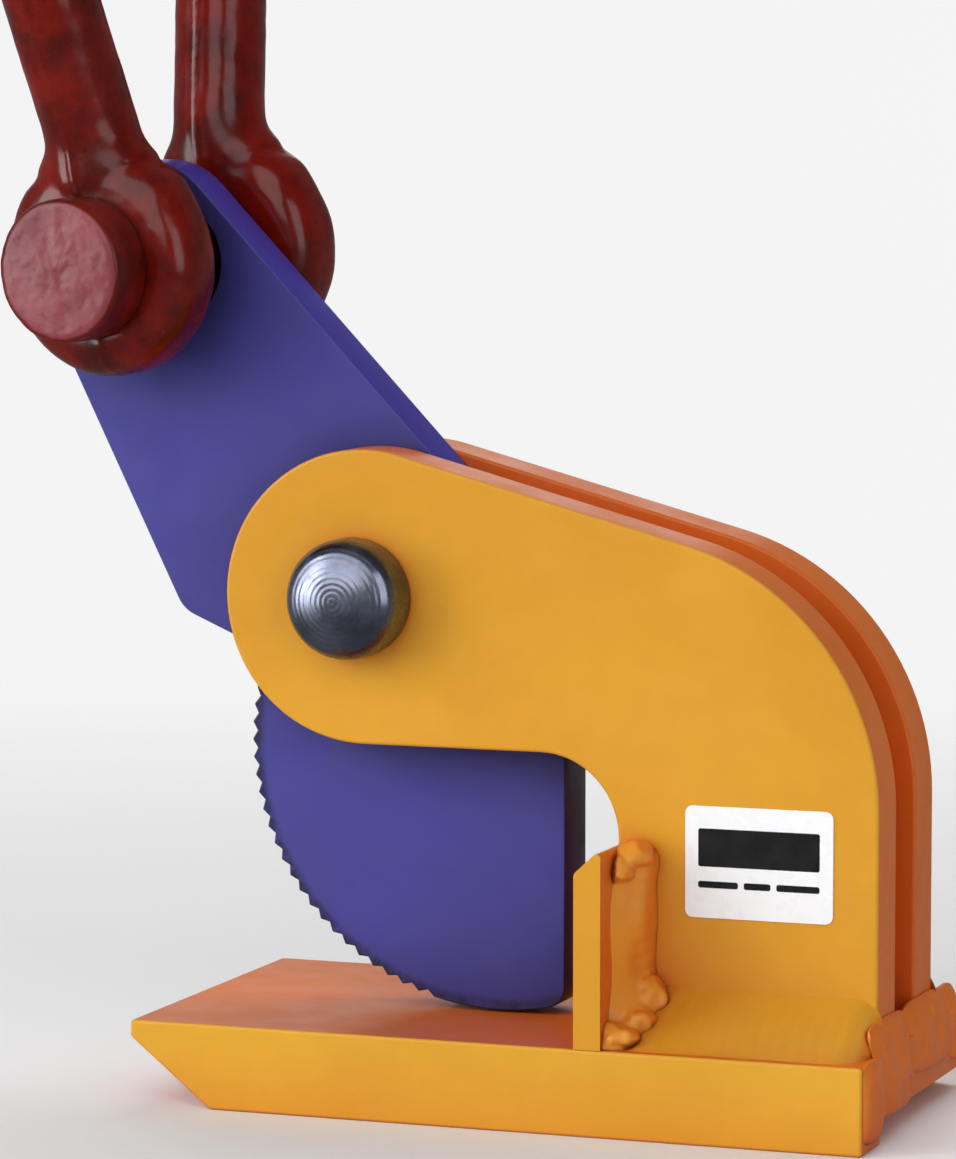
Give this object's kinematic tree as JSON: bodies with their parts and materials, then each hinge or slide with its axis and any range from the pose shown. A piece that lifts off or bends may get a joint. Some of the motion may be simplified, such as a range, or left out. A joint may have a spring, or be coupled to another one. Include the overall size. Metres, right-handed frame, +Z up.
{
  "type": "plate lifting clamp",
  "caption": "Horizontal plate lifting clamp: welded C-shaped body on a wedge-nosed base, toothed cam lever on a pivot pin, and a bow shackle through the lever.",
  "frame": {"origin": "underside of the base, on the mid-plane, directly below the cam pivot", "axes": "+X from the nose to the closed back, +Y to the rear side plate along the pivot pin, +Z up"},
  "size_m": [0.2203, 0.0992, 0.3192],
  "materials": {
    "yellow_paint": "semi-gloss yellow-orange enamel",
    "yellow_weld": "painted weld bead",
    "blue_paint": "semi-gloss violet-blue enamel",
    "red_paint": "gloss dark red paint over a forging",
    "red_pin": "dull dark red paint",
    "bright_steel": "polished steel",
    "zinc_steel": "zinc plated",
    "spring_steel": "dark oiled spring steel",
    "bronze": "machined bronze",
    "label": "white vinyl label"
  },
  "bodies": {
    "clamp_body": {"base_plate": "yellow_paint", "front_side_plate": "yellow_paint", "rear_side_plate": "yellow_paint", "back_spacer": "yellow_paint", "front_stop_lug": "yellow_paint", "rear_stop_lug": "yellow_paint", "front_foot_weld": "yellow_weld", "rear_foot_weld": "yellow_weld", "front_stop_weld": "yellow_weld", "rear_stop_weld": "yellow_weld", "end_weld": "yellow_weld", "pivot_pin": "bright_steel", "pivot_washer": "zinc_steel", "retaining_ring": "spring_steel", "rating_label": "label"},
    "cam": {"cam_lever": "blue_paint", "cam_bush": "bronze"},
    "shackle": {"shackle_bow": "red_paint", "shackle_pin": "red_pin", "shackle_cotter": "zinc_steel"}
  },
  "joints": [
    {"name": "cam_pivot", "type": "hinge", "parent": "clamp_body", "child": "cam", "pos_m": [0, 0, 0.1185], "axis": [0, -1, 0], "range_deg": [0, 60]},
    {"name": "shackle_swing", "type": "hinge", "parent": "cam", "child": "shackle", "pos_m": [-0.0553, 0, 0.1962], "axis": [0.1735, 0.9839, 0.0436], "range_deg": [-75, 75]}
  ]
}
